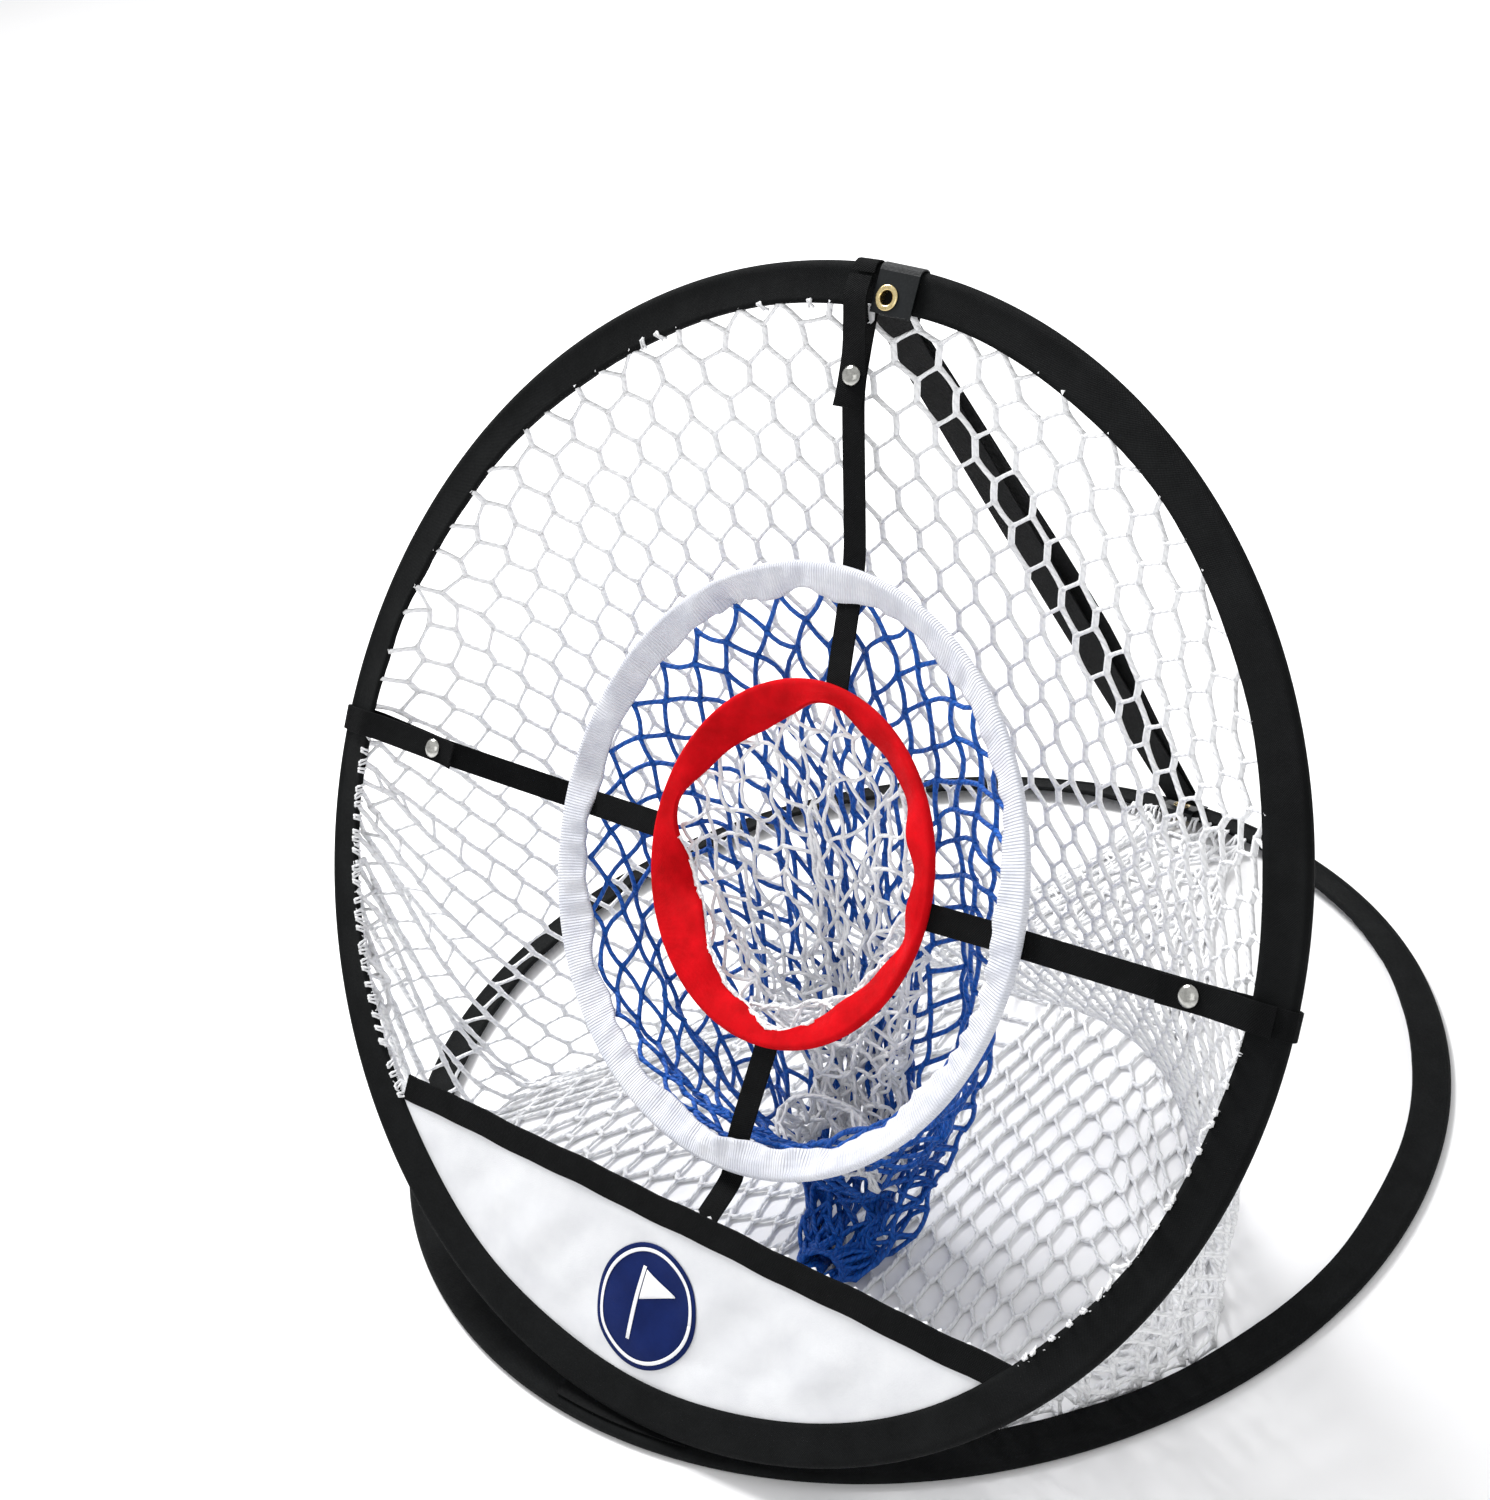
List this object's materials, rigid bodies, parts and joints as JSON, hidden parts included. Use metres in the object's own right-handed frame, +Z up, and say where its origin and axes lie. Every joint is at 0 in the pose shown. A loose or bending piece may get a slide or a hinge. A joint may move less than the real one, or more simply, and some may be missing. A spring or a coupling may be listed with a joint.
{
  "type": "golf chipping net",
  "caption": "Folding golf chipping net: a leaning round hoop on a flat round base hoop, with two target rings, net pockets and a net bag behind.",
  "frame": {"origin": "centre of the whole object's bounding box, at floor level", "axes": "+Z up, the target faces -Y, +X to the right of someone facing the target"},
  "size_m": [0.6525, 0.6244, 0.5176],
  "materials": {
    "black_sleeve": "matt woven polyester",
    "black_webbing": "matt woven webbing",
    "black_nylon": "semi-gloss nylon",
    "white_sleeve": "ribbed polyester",
    "red_sleeve": "plain polyester",
    "white_panel": "thin polyester cloth",
    "white_net": "glossy twisted cord net",
    "blue_net": "knotless cord net",
    "spring_steel": "drawn wire",
    "crimp_metal": "plain",
    "snap_metal": "polished",
    "eyelet_brass": "polished"
  },
  "bodies": {
    "base": {"base_hoop_sleeve": "black_sleeve", "base_hoop_wire": "spring_steel", "base_hoop_ferrule": "crimp_metal", "hinge_tape": "black_webbing", "base_eyelet_wrap": "black_nylon", "base_eyelet": "eyelet_brass", "net_tie": "white_net"},
    "front": {"front_hoop_sleeve": "black_sleeve", "front_hoop_wire": "spring_steel", "front_hoop_ferrule": "crimp_metal", "top_eyelet_wrap": "black_nylon", "top_eyelet": "eyelet_brass", "panel_binding": "black_webbing", "front_panel": "white_panel", "target_ring_sleeve": "white_sleeve", "target_ring_wire": "spring_steel", "target_ring_ferrule": "crimp_metal", "bullseye_ring_sleeve": "red_sleeve", "bullseye_ring_wire": "spring_steel", "bullseye_ring_ferrule": "crimp_metal", "right_strap": "black_webbing", "right_snap_stud": "snap_metal", "left_strap": "black_webbing", "left_snap_stud": "snap_metal", "top_strap": "black_webbing", "top_snap_stud": "snap_metal", "bottom_strap": "black_webbing", "rear_strap_inner": "black_webbing", "rear_strap_outer": "black_webbing", "main_net": "white_net", "target_pocket_net": "blue_net", "target_pocket_tie": "blue_net", "bullseye_pocket_net": "white_net", "bullseye_pocket_tie": "white_net"},
    "right_tab": {"right_tab_flap": "black_webbing", "right_snap_cap": "snap_metal", "right_snap_socket": "snap_metal"},
    "left_tab": {"left_tab_flap": "black_webbing", "left_snap_cap": "snap_metal", "left_snap_socket": "snap_metal"},
    "top_tab": {"top_tab_flap": "black_webbing", "top_snap_cap": "snap_metal", "top_snap_socket": "snap_metal"}
  },
  "joints": [
    {"name": "fold", "type": "hinge", "parent": "base", "child": "front", "pos_m": [0.0194, -0.2998, 0.0122], "axis": [1, 0, 0], "range_deg": [-44, 0], "stiffness_Nm_per_rad": 1.2, "springref_deg": 60.16, "deforming": ["main_net", "target_pocket_net", "bullseye_pocket_net", "target_pocket_tie", "bullseye_pocket_tie", "rear_strap_inner", "rear_strap_outer"]},
    {"name": "right_tab", "type": "hinge", "parent": "front", "child": "right_tab", "pos_m": [0.3179, -0.13511, 0.26745], "axis": [0, 0.5592, 0.829], "range_deg": [0, 115]},
    {"name": "left_tab", "type": "hinge", "parent": "front", "child": "left_tab", "pos_m": [-0.2791, -0.13288, 0.27076], "axis": [0, -0.5592, -0.829], "range_deg": [0, 115]},
    {"name": "top_tab", "type": "hinge", "parent": "front", "child": "top_tab", "pos_m": [0.0146, 0.03069, 0.51326], "axis": [-1, 0, 0], "range_deg": [0, 115]}
  ]
}
